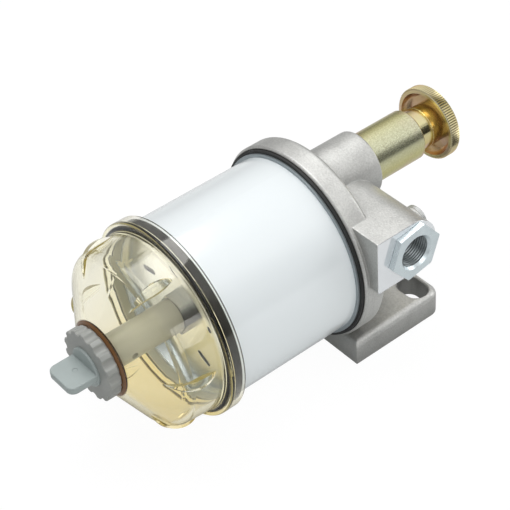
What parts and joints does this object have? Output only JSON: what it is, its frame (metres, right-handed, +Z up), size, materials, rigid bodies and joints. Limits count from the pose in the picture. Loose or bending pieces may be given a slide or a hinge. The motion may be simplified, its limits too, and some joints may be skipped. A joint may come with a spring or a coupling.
{
  "type": "fuel water separator",
  "caption": "Fuel filter and water separator: cast head with ports, mounting foot and hand priming pump, spin-on canister, clear bowl and drain valve.",
  "frame": {"origin": "midway between the two mounting slots, on the foot's flat underside", "axes": "+Z up from the foot, +Y along the canister's axis towards the pump's knob, +X towards the inlet port"},
  "size_m": [0.1394, 0.2673, 0.1205],
  "materials": {
    "cast_aluminium": "blasted, matte",
    "zinc_steel": "bluish zinc plate",
    "yellow_zinc": "yellow zinc plate, satin",
    "bright_steel": "plated sheet",
    "white_paint": "gloss white enamel",
    "black_rubber": "matte",
    "amber_plastic": "clear amber moulding",
    "cream_plastic": "satin",
    "grey_plastic": "satin",
    "blue_grey_plastic": "satin",
    "filter_paper": "pleated paper",
    "brass": "machined",
    "spring_steel": "drawn wire"
  },
  "bodies": {
    "head": {"head_casting": "cast_aluminium", "filter_nipple": "zinc_steel", "inlet_fitting": "zinc_steel", "inlet_seal": "black_rubber", "outlet_fitting": "zinc_steel", "outlet_seal": "black_rubber", "vent_plug": "zinc_steel", "pump_barrel": "yellow_zinc", "barrel_seal": "black_rubber", "rod_seal": "black_rubber", "valve_plate": "brass", "suction_valve": "black_rubber", "delivery_valve": "black_rubber", "pump_spring": "spring_steel"},
    "piston": {"pump_piston": "brass", "piston_seal": "black_rubber", "piston_screw": "spring_steel"},
    "plunger": {"plunger_tube": "yellow_zinc", "pump_knob": "yellow_zinc"},
    "gasket": {"filter_gasket": "black_rubber"},
    "canister": {"thread_plate": "bright_steel", "canister_shell": "white_paint", "filter_element": "filter_paper", "centre_tube": "bright_steel", "top_end_cap": "bright_steel", "bottom_end_cap": "bright_steel", "nipple_grommet": "black_rubber", "element_spring": "spring_steel", "end_plate": "bright_steel", "stem_hub": "zinc_steel"},
    "bowl_group": {"bowl": "amber_plastic", "bowl_seal": "black_rubber", "nut_gasket": "black_rubber"},
    "stem": {"bowl_stem": "cream_plastic", "collar_nut": "grey_plastic"},
    "drain_ring": {"drain_seal": "black_rubber"},
    "drain": {"drain_valve": "blue_grey_plastic"}
  },
  "joints": [
    {"name": "pump_stroke", "type": "slide", "parent": "head", "child": "piston", "axis": [0, -1, 0], "range_m": [0, 0.0172], "stiffness_N_per_m": 400, "deforming": ["pump_spring"]},
    {"name": "knob_turn", "type": "hinge", "parent": "piston", "child": "plunger", "pos_m": [0, -0.057, 0.091], "axis": [0, -1, 0], "continuous": true},
    {"name": "filter_travel", "type": "slide", "parent": "head", "child": "gasket", "axis": [0, -1, 0], "range_m": [0, 0.01]},
    {"name": "filter_turn", "type": "hinge", "parent": "gasket", "child": "canister", "pos_m": [0, -0.057, 0.061], "axis": [0, -1, 0], "range_deg": [0, 2400]},
    {"name": "bowl_travel", "type": "slide", "parent": "canister", "child": "bowl_group", "axis": [0, -1, 0], "range_m": [0, 0.01]},
    {"name": "stem_turn", "type": "hinge", "parent": "bowl_group", "child": "stem", "pos_m": [0, -0.057, 0.061], "axis": [0, -1, 0], "range_deg": [0, 1800]},
    {"name": "drain_travel", "type": "slide", "parent": "stem", "child": "drain_ring", "axis": [0, -1, 0], "range_m": [0, 0.004]},
    {"name": "drain_turn", "type": "hinge", "parent": "drain_ring", "child": "drain", "pos_m": [0, -0.057, 0.061], "axis": [0, -1, 0], "range_deg": [0, 720]}
  ],
  "couplings": [
    {"joint": "filter_turn", "follows": "filter_travel", "rad_per_m": 4188.7},
    {"joint": "stem_turn", "follows": "bowl_travel", "rad_per_m": 3141.5},
    {"joint": "drain_turn", "follows": "drain_travel", "rad_per_m": 3141.5}
  ]
}
